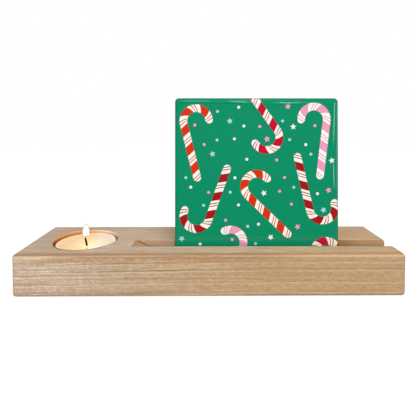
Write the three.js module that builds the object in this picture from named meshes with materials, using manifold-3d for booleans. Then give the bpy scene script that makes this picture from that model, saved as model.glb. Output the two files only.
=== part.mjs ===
// Wooden tealight and tile holder, in millimetres, +Z up.
//
// A block of light wood lies flat. A tealight in its metal cup sits in a round recess near the left
// end, and a square glazed tile stands in a groove that slopes down at its closed end and runs out
// through the right one.
// The origin is the middle of the block's underside: +X along the block, +Y towards its back.

import * as THREE from 'three';
import { RoundedBoxGeometry } from 'three/addons/geometries/RoundedBoxGeometry.js';
import { mergeVertices } from 'three/addons/utils/BufferGeometryUtils.js';
import Module from 'manifold-3d';

// Wooden block
const BLOCK_LENGTH = 220;
const BLOCK_DEPTH = 55;
const BLOCK_HEIGHT = 24;
const BLOCK_EDGE_RADIUS = 2;
const SANDED_EDGE = 0.5;

// Round recess for the tealight
const RECESS_FROM_LEFT = 32.1;
const RECESS_RADIUS = 19.5;
const RECESS_DEPTH = 17;

// Groove for the tile, with a sloping floor at its closed end
const GROOVE_FROM_LEFT = 63.4;
const GROOVE_FROM_FRONT = 13.4;
const GROOVE_WIDTH = 11.6;
const GROOVE_DEPTH = 12;
const GROOVE_SLOPE = THREE.MathUtils.degToRad(26);

// Glazed tile
const TILE_SIDE = 100;
const TILE_THICKNESS = 6;
const TILE_CORNER_RADIUS = 2.4;
const TILE_EDGE_RADIUS = 1.5;
const TILE_FROM_RIGHT = 31.2;
const TILE_LEAN = THREE.MathUtils.degToRad(2);

// Tealight: metal cup, wax with its melted surface, and wick
const CUP_RADIUS = 18.4;
const CUP_HEIGHT = 15;
const CUP_WALL = 0.4;
const CUP_FOOT_RADIUS = 1.4;
const CUP_BEAD_RADIUS = 0.3;
const WAX_BELOW_RIM = 0.3;
const WICK_RADIUS = 0.68;
const WICK_ABOVE_WAX = 2.7;
const WICK_IN_WAX = 6;
const WICK_FOOT_X = -0.22;
const WICK_TIP_X = -0.7;

// Small space between pieces that rest on each other, and the overshoot of a cutting shape
const GAP = 0.3;
const CLEAR = 2;

// Steps round a full turn, and along each small arc
const ROUND_STEPS = 80;
const WICK_STEPS = 16;
const ARC_STEPS = 3;
const BOX_STEPS = 4;

// Places that follow from the dimensions
const LEFT_END = -BLOCK_LENGTH / 2;
const RIGHT_END = BLOCK_LENGTH / 2;
const RECESS_X = LEFT_END + RECESS_FROM_LEFT;
const RECESS_FLOOR = BLOCK_HEIGHT - RECESS_DEPTH;
const GROOVE_START = LEFT_END + GROOVE_FROM_LEFT;
const GROOVE_FRONT = -BLOCK_DEPTH / 2 + GROOVE_FROM_FRONT;
const GROOVE_BACK = GROOVE_FRONT + GROOVE_WIDTH;
const GROOVE_FLOOR = BLOCK_HEIGHT - GROOVE_DEPTH;
const CUP_Z = RECESS_FLOOR + GAP;
const WAX_BOTTOM = CUP_Z + CUP_WALL + GAP;
const WAX_TOP = CUP_Z + CUP_HEIGHT - WAX_BELOW_RIM;
const WAX_RADIUS = CUP_RADIUS - CUP_WALL - GAP;

const wasm = await Module();
wasm.setup();

/** Closed solid of a three.js geometry, with the corners that its faces share joined. */
function solidOf(geometry) {
  geometry.deleteAttribute('normal');
  geometry.deleteAttribute('uv');
  const joined = mergeVertices(geometry);
  return new wasm.Manifold(new wasm.Mesh({
    numProp: 3,
    vertProperties: new Float32Array(joined.attributes.position.array),
    triVerts: new Uint32Array(joined.index.array),
  }));
}

/** three.js geometry of a closed solid. */
function geometryOf(solid) {
  const { vertProperties, triVerts } = solid.getMesh();
  const geometry = new THREE.BufferGeometry();
  geometry.setAttribute('position', new THREE.BufferAttribute(vertProperties, 3));
  geometry.setIndex(new THREE.BufferAttribute(triVerts, 1));
  geometry.computeVertexNormals();
  return geometry;
}

/** Round body about +Z, from a path of radius and height that starts and ends on the axis. */
function turned(path) {
  return new THREE.LatheGeometry(path.getPoints(ARC_STEPS), ROUND_STEPS).rotateX(Math.PI / 2);
}

/** Bar along +X between two ends, from a section drawn in Y and Z. */
function barAlongX(section, start, end) {
  const bar = new THREE.ExtrudeGeometry(section, {
    depth: end - start, bevelEnabled: false, curveSegments: ARC_STEPS,
  });
  const axes = new THREE.Matrix4().makeBasis(
    new THREE.Vector3(0, 1, 0), new THREE.Vector3(0, 0, 1), new THREE.Vector3(1, 0, 0),
  );
  return bar.applyMatrix4(axes).translate(start, 0, 0);
}

/** What the drill takes out: a flat-bottomed bore with a rounded-over rim. */
function recessCut() {
  const path = new THREE.Path();
  path.moveTo(0, RECESS_FLOOR);
  path.lineTo(RECESS_RADIUS, RECESS_FLOOR);
  path.absarc(
    RECESS_RADIUS + SANDED_EDGE, BLOCK_HEIGHT - SANDED_EDGE, SANDED_EDGE,
    Math.PI, Math.PI / 2, true,
  );
  path.lineTo(RECESS_RADIUS + SANDED_EDGE, BLOCK_HEIGHT + CLEAR);
  path.lineTo(0, BLOCK_HEIGHT + CLEAR);
  return turned(path).translate(RECESS_X, 0, 0);
}

/** What the groove takes out: down the slope, then level to past the right end. */
function grooveCut() {
  const side = new THREE.Shape();
  side.moveTo(GROOVE_START - CLEAR / Math.tan(GROOVE_SLOPE), BLOCK_HEIGHT + CLEAR);
  side.lineTo(GROOVE_START + GROOVE_DEPTH / Math.tan(GROOVE_SLOPE), GROOVE_FLOOR);
  side.lineTo(RIGHT_END + CLEAR, GROOVE_FLOOR);
  side.lineTo(RIGHT_END + CLEAR, BLOCK_HEIGHT + CLEAR);
  return new THREE.ExtrudeGeometry(side, { depth: GROOVE_WIDTH, bevelEnabled: false })
    .rotateX(Math.PI / 2)
    .translate(0, GROOVE_BACK, 0);
}

/** What sanding takes off the groove's two lips. */
function grooveLipCut() {
  const low = BLOCK_HEIGHT - SANDED_EDGE;
  const high = BLOCK_HEIGHT + CLEAR;
  const section = new THREE.Shape();
  section.moveTo(GROOVE_FRONT, low);
  section.lineTo(GROOVE_BACK, low);
  section.absarc(GROOVE_BACK + SANDED_EDGE, low, SANDED_EDGE, Math.PI, Math.PI / 2, true);
  section.lineTo(GROOVE_BACK + SANDED_EDGE, high);
  section.lineTo(GROOVE_FRONT - SANDED_EDGE, high);
  section.absarc(GROOVE_FRONT - SANDED_EDGE, low, SANDED_EDGE, Math.PI / 2, 0, true);
  return barAlongX(section, GROOVE_START + SANDED_EDGE, RIGHT_END + CLEAR);
}

function blockGeometry() {
  const plank = new RoundedBoxGeometry(
    BLOCK_LENGTH, BLOCK_DEPTH, BLOCK_HEIGHT, BOX_STEPS, BLOCK_EDGE_RADIUS,
  ).translate(0, 0, BLOCK_HEIGHT / 2);
  return geometryOf(
    [recessCut(), grooveCut(), grooveLipCut()]
      .reduce((wood, cut) => wood.subtract(solidOf(cut)), solidOf(plank)),
  );
}

/** Square tile standing on its back bottom edge, glazed face towards -Y, edges rounded over. */
function tileGeometry() {
  const half = TILE_SIDE / 2 - TILE_CORNER_RADIUS;
  const inner = TILE_CORNER_RADIUS - TILE_EDGE_RADIUS;
  const middle = TILE_SIDE / 2;
  const outline = new THREE.Shape();
  outline.absarc(half, middle + half, inner, 0, Math.PI / 2, false);
  outline.absarc(-half, middle + half, inner, Math.PI / 2, Math.PI, false);
  outline.absarc(-half, middle - half, inner, Math.PI, 1.5 * Math.PI, false);
  outline.absarc(half, middle - half, inner, 1.5 * Math.PI, 2 * Math.PI, false);
  return new THREE.ExtrudeGeometry(outline, {
    depth: TILE_THICKNESS - 2 * TILE_EDGE_RADIUS,
    bevelSize: TILE_EDGE_RADIUS,
    bevelThickness: TILE_EDGE_RADIUS,
    bevelSegments: ARC_STEPS + 1,
    curveSegments: ARC_STEPS,
  }).translate(0, 0, TILE_EDGE_RADIUS).rotateX(Math.PI / 2);
}

/** Thin pressed cup with a rounded foot and a beaded rim. */
function cupGeometry() {
  const inside = CUP_RADIUS - CUP_WALL;
  const beadHeight = CUP_HEIGHT - CUP_BEAD_RADIUS;
  const path = new THREE.Path();
  path.moveTo(0, 0);
  path.lineTo(CUP_RADIUS - CUP_FOOT_RADIUS, 0);
  path.absarc(
    CUP_RADIUS - CUP_FOOT_RADIUS, CUP_FOOT_RADIUS, CUP_FOOT_RADIUS, -Math.PI / 2, 0, false,
  );
  path.lineTo(CUP_RADIUS, beadHeight - CUP_BEAD_RADIUS);
  path.absarc(CUP_RADIUS, beadHeight, CUP_BEAD_RADIUS, -Math.PI / 2, Math.PI, false);
  path.lineTo(inside, CUP_FOOT_RADIUS);
  path.absarc(
    CUP_RADIUS - CUP_FOOT_RADIUS, CUP_FOOT_RADIUS, CUP_FOOT_RADIUS - CUP_WALL,
    0, -Math.PI / 2, true,
  );
  path.lineTo(0, CUP_WALL);
  return turned(path);
}

/** Middle line of the leaning wick: its two ends, measured from the cup's axis. */
function wickLine() {
  const foot = new THREE.Vector3(WICK_FOOT_X, 0, WAX_TOP);
  const tip = new THREE.Vector3(WICK_TIP_X, 0, WAX_TOP + WICK_ABOVE_WAX);
  const direction = tip.clone().sub(foot).normalize();
  return new THREE.Line3(foot.addScaledVector(direction, -WICK_IN_WAX), tip);
}

/** Round rod round the wick's line. */
function wickRod(radius) {
  return new THREE.CylinderGeometry(radius, radius, wickLine().distance(), WICK_STEPS);
}

/** Turn and place that lay a rod made along +Y on the wick's line. */
function placeOnWickLine(object) {
  const line = wickLine();
  line.getCenter(object.position);
  object.quaternion.setFromUnitVectors(
    new THREE.Vector3(0, 1, 0), line.delta(new THREE.Vector3()).normalize(),
  );
  object.updateMatrix();
  return object;
}

/** Puck of wax up to its level surface, with room for the wick. */
function waxGeometry() {
  const path = new THREE.Path();
  path.moveTo(0, WAX_BOTTOM);
  path.lineTo(WAX_RADIUS - CUP_FOOT_RADIUS, WAX_BOTTOM);
  path.absarc(
    WAX_RADIUS - CUP_FOOT_RADIUS, WAX_BOTTOM + CUP_FOOT_RADIUS, CUP_FOOT_RADIUS,
    -Math.PI / 2, 0, false,
  );
  path.lineTo(WAX_RADIUS, WAX_TOP);
  path.lineTo(0, WAX_TOP);
  const room = wickRod(WICK_RADIUS + GAP).translate(0, -GAP, 0);
  room.applyMatrix4(placeOnWickLine(new THREE.Object3D()).matrix);
  return geometryOf(solidOf(turned(path)).subtract(solidOf(room)));
}

function finish(color, roughness, metalness = 0) {
  return new THREE.MeshStandardMaterial({ color, roughness, metalness });
}

function namedMesh(name, geometry, material) {
  const mesh = new THREE.Mesh(geometry, material);
  mesh.name = name;
  return mesh;
}

function tile() {
  const mesh = namedMesh('ceramic_tile', tileGeometry(), finish(0x1b9168, 0.12));
  const foot = GROOVE_FLOOR + GAP;
  const lip = GROOVE_BACK - GAP;
  mesh.rotation.x = -TILE_LEAN;
  mesh.position.set(
    RIGHT_END - TILE_FROM_RIGHT - TILE_SIDE / 2,
    lip - (BLOCK_HEIGHT - foot) * Math.tan(TILE_LEAN),
    foot,
  );
  return mesh;
}

function tealight() {
  const candle = new THREE.Group();
  const cup = namedMesh('tealight_cup', cupGeometry(), finish(0xc9c7c2, 0.35, 1));
  cup.position.z = CUP_Z;
  const wax = namedMesh('wax', waxGeometry(), finish(0xffe0b0, 0.35));
  const wick = namedMesh('wick', wickRod(WICK_RADIUS), finish(0x1a120e, 0.9));
  candle.add(cup, wax, placeOnWickLine(wick));
  candle.position.x = RECESS_X;
  return candle;
}

const group = new THREE.Group();
group.add(namedMesh('wood_block', blockGeometry(), finish(0xc4a582, 0.6)));
group.add(tile());
group.add(tealight());

export default group;
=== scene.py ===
"""The finished looks of a wooden tealight holder with a glazed tile.

A block of light wood holds a lit tealight in a round recess. A square tile, printed with candy
canes, dots and stars, stands in a groove. Everything is in metres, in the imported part's own
frame: the origin is the middle of the block's underside, +X runs along the block, +Y towards its
back and +Z up. Only the growth rings, the canes' places and the materials' ramps, bands and
blotches are in millimetres.
"""

import math

import bmesh
import bpy
from bpy.props import FloatProperty, FloatVectorProperty, PointerProperty
from mathutils import Matrix, Vector, noise


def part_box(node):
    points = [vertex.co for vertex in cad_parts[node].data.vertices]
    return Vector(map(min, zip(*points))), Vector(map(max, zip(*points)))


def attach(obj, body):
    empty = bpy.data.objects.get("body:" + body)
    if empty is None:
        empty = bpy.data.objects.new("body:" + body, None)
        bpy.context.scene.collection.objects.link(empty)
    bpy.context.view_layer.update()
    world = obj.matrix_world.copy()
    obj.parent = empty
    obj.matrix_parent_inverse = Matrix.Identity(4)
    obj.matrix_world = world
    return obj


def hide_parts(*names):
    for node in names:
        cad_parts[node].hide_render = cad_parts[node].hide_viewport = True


bl_info = {
    "name": "Tealight and Tile Holder",
    "version": (1, 0, 0),
    "blender": (4, 5, 0),
    "location": "3D View > Sidebar > Holder",
    "description": "Wood, glazed tile with its print, lit tealight and a soft studio",
    "category": "Object",
}

MM = 0.001

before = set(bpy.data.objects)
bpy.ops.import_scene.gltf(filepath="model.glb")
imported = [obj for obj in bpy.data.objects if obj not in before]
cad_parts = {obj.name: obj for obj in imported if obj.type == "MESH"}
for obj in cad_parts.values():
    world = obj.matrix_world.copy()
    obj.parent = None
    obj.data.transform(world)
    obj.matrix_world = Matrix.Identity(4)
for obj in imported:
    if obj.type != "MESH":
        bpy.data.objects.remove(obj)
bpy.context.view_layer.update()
BLOCK_LOW, BLOCK_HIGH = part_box("wood_block")
TILE_LOW, TILE_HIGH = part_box("ceramic_tile")
CUP_LOW, CUP_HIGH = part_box("tealight_cup")
WAX_LOW, WAX_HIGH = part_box("wax")
WICK_LOW, WICK_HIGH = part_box("wick")

# Space left between pieces that rest on each other
GAP = 0.3 * MM


# ---- Settings ----

def size(name, description, millimetres):
    """A length that a user may change."""
    return FloatProperty(
        name=name, description=description, default=millimetres * MM, min=0.0, unit="LENGTH",
        precision=4,
    )


def turn(name, description, degrees):
    """An angle that a user may change."""
    return FloatProperty(
        name=name, description=description, default=math.radians(degrees), subtype="ANGLE",
    )


def amount(name, description, value):
    """A plain number that a user may change."""
    return FloatProperty(name=name, description=description, default=value, min=0.0)


def linear(level):
    """Linear value of one channel of a screen colour, from 0 to 255."""
    share = level / 255
    return share / 12.92 if share <= 0.04045 else ((share + 0.055) / 1.055) ** 2.4


def tint(name, description, red, green, blue):
    """A colour that a user may change, given as screen values from 0 to 255."""
    return FloatVectorProperty(
        name=name, description=description, subtype="COLOR", size=3, min=0.0, max=1.0,
        default=(linear(red), linear(green), linear(blue)),
    )


class HolderBlockSettings(bpy.types.PropertyGroup):
    edge_radius: size("Edge radius", "Rounding of the block's outer edges", 2)
    sanded_edge: size("Sanded edge", "Rounding of the edges of the recess and the groove", 0.5)
    recess_from_left: size("Recess from left", "Left end to the middle of the recess", 32.1)
    recess_radius: size("Recess radius", "Half the width of the tealight's recess", 19.5)
    recess_depth: size("Recess depth", "Depth of the tealight's recess", 17)
    groove_from_left: size("Groove from left", "Left end to where the groove begins", 63.4)
    groove_from_front: size("Groove from front", "Front face to the groove's front wall", 13.4)
    groove_width: size("Groove width", "Width of the tile's groove", 11.6)
    groove_depth: size("Groove depth", "Depth of the tile's groove", 12)
    groove_slope: turn("Groove slope", "Slope of the floor at the closed end", 26)
    ring_tilt: turn("Ring tilt", "Lean of the growth rings away from level", 38)
    ring_drop: size("Ring drop", "How far the growth rings come down at the left end", 2.2)
    wood_left: tint("Wood, left", "Wood at the tealight's end", 213, 187, 162)
    wood_right: tint("Wood, right", "Wood at the open end of the groove", 198, 163, 121)
    ring_pale: tint("Ring, pale", "Pale line of a growth ring", 234, 216, 188)
    ring_dark: tint("Ring, dark", "Dark line beside the pale one", 134, 102, 74)
    # Rubbed wood and a painted highlight on the top front edge, and painted light on the foot
    edge_wear_and_light: tint("Edge, pale", "Rubbed wood and painted highlight along the top front edge, painted light on the foot", 240, 202, 156)
    edge_brown: tint("Edge, brown", "Brown line above it", 156, 114, 78)
    cut_left: tint("Cut wood, left", "Groove's walls at its sloping end", 215, 190, 168)
    cut_right: tint("Cut wood, right", "Groove's walls at its open end", 200, 158, 116)
    # Painted shade: the tile's shadow on the groove's walls beside it
    cut_painted_shade: tint("Cut wood, shaded", "Groove's walls beside the tile", 166, 114, 66)
    # Painted shade: the groove's sloping end, darker where it faces away from the light
    slope_painted_shade: tint("Slope", "Groove's sloping end", 184, 148, 110)
    # Painted shade in the groove's corner and on the recess's near wall
    painted_shade_wood: tint("Painted shade", "Painted shade in the groove's corner and the recess's near wall", 160, 117, 74)
    # Painted flame light on the recess's wall
    painted_warm_wood: tint("Warm wood", "Wall of the recess at the left, warmed by the flame", 232, 148, 56)
    painted_lit_wood: tint("Lit wood", "Wall of the recess at the back and right", 255, 246, 234)


class HolderTileSettings(bpy.types.PropertyGroup):
    side: size("Side", "Width and height of the tile", 100)
    thickness: size("Thickness", "Thickness of the tile", 6)
    corner_radius: size("Corner radius", "Rounding of the tile's outline", 2.4)
    edge_radius: size("Edge radius", "Rounding from the face to the sides", 1.5)
    lean: turn("Lean", "How far the tile leans back", 2)
    ridge_height: size("Glaze ridge", "Height of the roll of glaze along the edges", 0.15)
    ridge_start: size("Ridge start", "Edge to the near side of that roll", 1.3)
    ridge_shift: size("Ridge shift", "How much further in that roll lies at the right", 0.7)
    ridge_wander: size("Ridge wander", "How far that roll comes and goes from the edge", 0.4)
    ridge_width: size("Ridge width", "Width of that roll", 2.6)
    glazed_side: size("Glazed side", "How far round the side the glaze runs", 4.2)
    glaze: tint("Glaze", "Green ground of the print", 15, 146, 104)
    biscuit: tint("Biscuit", "Unglazed back", 222, 207, 186)


class HolderPrintSettings(bpy.types.PropertyGroup):
    cane_width: size("Cane width", "Width of a printed candy cane", 4.7)
    cane_length: size("Cane length", "Length of a cane's straight stick", 36)
    hook_radius: size("Hook radius", "Radius of the middle of a cane's hook", 7.8)
    hook_sweep: turn("Hook sweep", "How far the hook turns", 205)
    stripe_pitch: size("Stripe pitch", "Distance from one broad stripe to the next", 11.8)
    stripe_slant: size("Stripe slant", "How far a stripe shifts across half the cane", 1.3)
    dot_width: size("Dot width", "Width of a printed dot", 1.8)
    star_width: size("Star width", "Width of a printed star", 4.0)
    spot_spacing: size("Spot spacing", "Distance between neighbouring dots and stars", 10.6)
    cream: tint("Cream", "Sugar of the canes", 255, 254, 243)
    crimson: tint("Crimson", "Stripes", 205, 15, 50)
    orange: tint("Orange red", "Stripes", 221, 55, 20)
    dark_red: tint("Dark red", "Stripes", 170, 28, 32)
    pink: tint("Pink", "Stripes", 245, 162, 197)
    spot_white: tint("White", "Dots and stars", 252, 252, 250)
    spot_pink: tint("Spot pink", "Dots and stars", 255, 160, 205)
    spot_blue: tint("Pale blue", "Dots and stars", 182, 218, 230)


class HolderCandleSettings(bpy.types.PropertyGroup):
    cup_wall: size("Cup wall", "Thickness of the cup", 0.4)
    bead_radius: size("Bead radius", "Radius of the rolled rim", 0.3)
    foot_radius: size("Foot radius", "Rounding of the cup's foot", 1.4)
    dish_depth: size("Dish depth", "How far the wax sinks from the wall to the middle", 2.45)
    wick_radius: size("Wick radius", "Half the thickness of the wick", 0.68)
    flame_height: size("Flame height", "Height of the bright flame", 7.3)
    flame_radius: size("Flame radius", "Half the width of the bright flame", 1.85)
    flame_lift: size("Flame lift", "Tip of the wick to the bright flame", 0.9)
    # Brown tint of the cup is a painted reflection of the recess's wood
    metal: tint("Metal", "Pressed cup", 158, 116, 78)
    # Painted flame light on the cup's rim at the back
    flame_lit_metal: tint("Flame-lit metal", "Painted flame light on the cup's rim at the back", 255, 208, 166)
    wax_near: tint("Wax, near", "Melted wax at the left of the wick", 254, 234, 180)
    wax_clear: tint("Wax, clear", "Melted wax at the right of the wick", 254, 245, 212)
    wax_left: tint("Wax, left", "Wax at the left of the cup", 253, 214, 168)
    wax_right: tint("Wax, right", "Wax at the right of the cup", 252, 222, 202)
    # Painted shade on the wax in front of the wick
    wax_front_shaded: tint("Wax, front", "Wax between the wick and the front of the cup", 250, 216, 158)
    # Painted shade on the wax against the cup's wall
    wax_rim_shade: tint("Wax, rim", "Wax against the cup's wall", 150, 98, 58)
    char: tint("Char", "Burnt cotton", 8, 2, 2)
    ember: tint("Ember", "Ash and the wick's brown tip", 96, 48, 20)
    flame_base: tint("Flame base", "Lowest part of the bright flame", 212, 176, 92)
    flame_body: tint("Flame body", "Bright part of the flame", 255, 252, 245)
    flame_rim: tint("Flame rim", "Thin outer mantle at its foot", 255, 184, 104)
    flame_veil: tint("Flame veil", "Thin outer mantle at its tip", 240, 214, 176)


class HolderStageSettings(bpy.types.PropertyGroup):
    eye_right: size("Eye right", "Camera place, to the right of the block's middle", 0.66)
    eye_front: size("Eye front", "Camera place, in front of the block's middle", 221.53)
    eye_height: size("Eye height", "Camera height above the floor", 96.23)
    look_down: turn("Look down", "How far the camera tips down", 1.58)
    look_right: turn("Look right", "How far the camera turns to the right", 0.42)
    lens: amount("Lens", "Focal length in millimetres", 30.516)
    frame_left: amount("Frame left", "Camera shift to the left, as a share of the frame", 0.0128)
    frame_down: amount("Frame down", "Camera shift down, as a share of the frame", 0.1772)
    floor: tint("Floor", "How much of the lamps' light the floor gives back", 96, 96, 96)
    floor_glow: amount("Floor glow", "Light of the floor's own, which keeps it pale", 0.95)
    key_power: amount("Key power", "Softbox above, in front", 14.0)
    fill_power: amount("Fill power", "Softbox low in front", 5.0)
    panel_glow: amount("Panel glow", "Brightness of the panels that show as streaks in the glaze", 12.5)
    sky_light: amount("Sky light", "Even light from all round", 0.36)
    sky_gloss: amount("Sky gloss", "How bright the room looks in glossy surfaces", 0.02)
    flame_light: tint("Flame light", "Colour of the flame's light", 255, 209.35, 157.6)
    flame_power: amount("Flame power", "Warm light of the flame", 0.0036)
    flame_sink: size("Flame sink", "How far below the block's top that light sits", 0.8)


SETTINGS = {
    "holder_block": HolderBlockSettings,
    "holder_tile": HolderTileSettings,
    "holder_print": HolderPrintSettings,
    "holder_candle": HolderCandleSettings,
    "holder_stage": HolderStageSettings,
}


# ---- Shader maths ----

# How strongly wood's red, green and blue go along when it turns paler or darker
STAIN = (0.55, 0.77, 1.0)


class Value:
    """One output of a shader node, so that shader maths reads as plain Python."""

    def __init__(self, graph, socket):
        self.graph = graph
        self.socket = socket

    def __add__(self, other):
        return self.graph.maths("ADD", self, other)

    def __sub__(self, other):
        return self.graph.maths("SUBTRACT", self, other)

    def __rsub__(self, other):
        return self.graph.maths("SUBTRACT", other, self)

    def __mul__(self, other):
        return self.graph.maths("MULTIPLY", self, other)

    def __truediv__(self, other):
        return self.graph.maths("DIVIDE", self, other)

    __radd__ = __add__
    __rmul__ = __mul__

    def part(self):
        """What is left over above the whole number below."""
        return self.graph.maths("FRACT", self)

    def root(self):
        return self.graph.maths("SQRT", self)

    def away(self):
        """Distance from zero."""
        return self.graph.maths("ABSOLUTE", self)

    def ramp(self, low, high):
        """Smooth rise from 0 at low to 1 at high."""
        return self.graph.add(
            "ShaderNodeMapRange", {"interpolation_type": "SMOOTHSTEP"},
            {"Value": self, "From Min": low, "From Max": high},
        )

    def band(self, middle, width):
        """1 at middle, falling smoothly to 0 at width to either side."""
        return 1 - (self - middle).away().ramp(0.0, width)


def set_stops(ramp, stops):
    """Gives a colour ramp its (place, colour) stops, in order."""
    first, *between, last = stops
    for stop, (place, colour) in zip(ramp.elements, (first, last)):
        stop.position, stop.color = place, (*colour, 1.0)
    for place, colour in between:
        ramp.elements.new(place).color = (*colour, 1.0)


class Graph:
    """The nodes of one new material, or of a new world."""

    def __init__(self, name, world=False):
        self.owner = (bpy.data.worlds if world else bpy.data.materials).new(name)
        self.owner.use_nodes = True
        self.tree = self.owner.node_tree

    def add(self, kind, settings=None, inputs=None, output=0):
        """Adds a node with its settings and its inputs, and gives one of its outputs."""
        node = self.tree.nodes.new(kind)
        for key, value in (settings or {}).items():
            if key == "stops":
                set_stops(node.color_ramp, value)
            else:
                setattr(node, key, value)
        for key, value in (inputs or {}).items():
            self.feed(node.inputs[key], value)
        return Value(self, node.outputs[output])

    def feed(self, socket, value):
        """Links a value to a socket, or sets it where the value is a plain number or colour."""
        if isinstance(value, Value):
            self.tree.links.new(value.socket, socket)
        elif socket.type == "RGBA":
            socket.default_value = (*value[:3], 1.0)
        else:
            socket.default_value = value

    def maths(self, operation, *terms):
        return self.add("ShaderNodeMath", {"operation": operation}, dict(enumerate(terms)))

    def point(self, x, y, z):
        return self.add("ShaderNodeCombineXYZ", inputs={0: x, 1: y, 2: z})

    def place(self):
        """X, Y and Z of the shaded point in millimetres, in the part's frame."""
        where = self.add("ShaderNodeTexCoord", output="Object")
        scaled = self.add(
            "ShaderNodeVectorMath", {"operation": "SCALE"}, {0: where, "Scale": 1 / MM},
        )
        return self.split(scaled)

    def facing(self):
        """X, Y and Z of the surface's direction."""
        return self.split(self.add("ShaderNodeNewGeometry", output="Normal"))

    def split(self, vector):
        """The three numbers of a vector or a colour."""
        parts = self.add("ShaderNodeSeparateXYZ", inputs={0: vector})
        return [Value(self, output) for output in parts.socket.node.outputs]

    def cloud(self, place, blotch, detail=2, rough=0.5, shift=0):
        """Soft noise from 0 to 1, its blotches so many millimetres long, wide and high.

        Clouds with blotches of like size are shifted, so that they don't match.
        """
        x, y, z = (along / length for along, length in zip(place, blotch))
        return self.add("ShaderNodeTexNoise", inputs={
            "Vector": self.point(x, y, z + shift if shift else z),
            "Scale": 1, "Detail": detail, "Roughness": rough,
        }, output="Fac")

    def mix(self, share, first, second):
        """Colour between the first, at 0, and the second, at 1."""
        return self.add(
            "ShaderNodeMix", {"data_type": "RGBA"}, {0: share, 6: first, 7: second}, output=2,
        )

    def shade(self, colour, brightness):
        """Colour made lighter or darker."""
        return self.add(
            "ShaderNodeVectorMath", {"operation": "SCALE"}, {0: colour, "Scale": brightness},
        )

    def stain(self, colour, change):
        """Colour made paler and creamier, or darker and browner, by a share above or below 0."""
        red, green, blue = (1 + change * share for share in STAIN)
        return self.add(
            "ShaderNodeVectorMath", {"operation": "MULTIPLY"},
            {0: colour, 1: self.point(red, green, blue)},
        )

    def relief(self, height, depth, strength):
        """Bump of a height from 0 to 1 that stands so many millimetres proud."""
        return self.add("ShaderNodeBump", inputs={
            "Height": height, "Distance": depth * MM, "Strength": strength,
        }, output="Normal")

    def finish(self, **sockets):
        """Sets the Principled shader's sockets, given by name with _ for each space."""
        shader = self.tree.nodes["Principled BSDF"]
        for name, value in sockets.items():
            self.feed(shader.inputs[name.replace("_", " ")], value)
        return self.owner


# ---- Mesh helpers ----

# Corners nearer than this are one
SAME_SPOT = 0.002 * MM


def add_object(name, data):
    """Puts a new object in the scene."""
    thing = bpy.data.objects.new(name, data)
    bpy.context.scene.collection.objects.link(thing)
    return thing


def add_piece(name, mesh, slot, *replaced):
    """Puts a finished mesh in the scene as a piece of the part."""
    piece = add_object(name, mesh)
    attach(piece, "root")
    if replaced:
        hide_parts(*replaced)
    return piece


def finished_mesh(name, shape, materials, crease=40):
    """Turns a bmesh into a mesh with smooth faces, sharp only at creases."""
    bmesh.ops.recalc_face_normals(shape, faces=shape.faces[:])
    mesh = bpy.data.meshes.new(name)
    shape.to_mesh(mesh)
    shape.free()
    for material in materials:
        mesh.materials.append(material)
    mesh.shade_smooth()
    mesh.set_sharp_from_angle(angle=math.radians(crease))
    return mesh


def loft(shape, rings):
    """Skins rings that have the same number of points, and gives their corners."""
    made = [[shape.verts.new(point) for point in ring] for ring in rings]
    for lower, upper in zip(made, made[1:]):
        for k in range(len(lower)):
            after = (k + 1) % len(lower)
            shape.faces.new((lower[k], lower[after], upper[after], upper[k]))
    return made


def turned_shape(profile, steps, middle):
    """Round body about an upright axis, from (radius, height) points that may start and end on it."""
    shape = bmesh.new()
    rings = [
        [
            Vector((
                middle.x + radius * math.cos(math.tau * k / steps),
                middle.y + radius * math.sin(math.tau * k / steps),
                height,
            ))
            for k in range(steps)
        ]
        for radius, height in profile
    ]
    loft(shape, rings)
    bmesh.ops.remove_doubles(shape, verts=shape.verts[:], dist=SAME_SPOT)
    return shape


def arc(middle, radius, start, end, steps):
    """Points on an arc in a plane, angles in degrees."""
    return [
        (
            middle[0] + radius * math.cos(math.radians(start + (end - start) * k / steps)),
            middle[1] + radius * math.sin(math.radians(start + (end - start) * k / steps)),
        )
        for k in range(steps + 1)
    ]


def heading(angle):
    """Direction in a plane at an angle in radians."""
    return Vector((math.cos(angle), math.sin(angle)))


def bare_object(name, shape):
    """Puts a bmesh in the scene as it is, for a cut."""
    thing = add_object(name, bpy.data.meshes.new(name))
    shape.to_mesh(thing.data)
    shape.free()
    return thing


def carve(shape, *cutters):
    """Cuts closed shapes out of a closed shape and gives what is left."""
    target = bare_object("uncut", shape)
    tools = []
    for cutter in cutters:
        bmesh.ops.recalc_face_normals(cutter, faces=cutter.faces[:])
        tool = bare_object("cutter", cutter)
        cut = target.modifiers.new("cut", "BOOLEAN")
        cut.operation = "DIFFERENCE"
        cut.solver = "EXACT"
        cut.object = tool
        tools.append(tool)
    left = bmesh.new()
    left.from_object(target, bpy.context.evaluated_depsgraph_get())
    for spare in [target, *tools]:
        mesh = spare.data
        bpy.data.objects.remove(spare)
        bpy.data.meshes.remove(mesh)
    return left


def round_over(shape, edges, radius, segments):
    """Rounds some edges of a shape."""
    bmesh.ops.bevel(
        shape, geom=edges, offset=radius, segments=segments, profile=0.5, affect="EDGES",
    )


# ---- Wooden block ----

EDGE_SEGMENTS = 6
SANDED_SEGMENTS = 4
RECESS_STEPS = 128
# How far the cutters reach out of the block
CLEAR = 2 * MM
# Turn of an edge above which it is one that a cutter left, and not part of a rounding
CUT_EDGE = math.radians(32)
# Heights in millimetres at which the growth rings come out of the front face, the thickness of
# wood after which they come again, and where the first such layer starts
RINGS = [2.5, 8.2, 15.0, 19.5]
RING_SPAN = 22.4
RING_OFFSET = 1.0
# Pale line and darker line of one ring: height from the ring, share of pale, share of dark
RING_LINES = [
    (-0.60, 0.0, 0.0), (-0.22, 1.0, 0.0), (0.22, 1.0, 0.0), (0.65, 0.0, 0.6), (0.95, 0.0, 1.0),
    (1.50, 0.0, 0.0),
]


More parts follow.
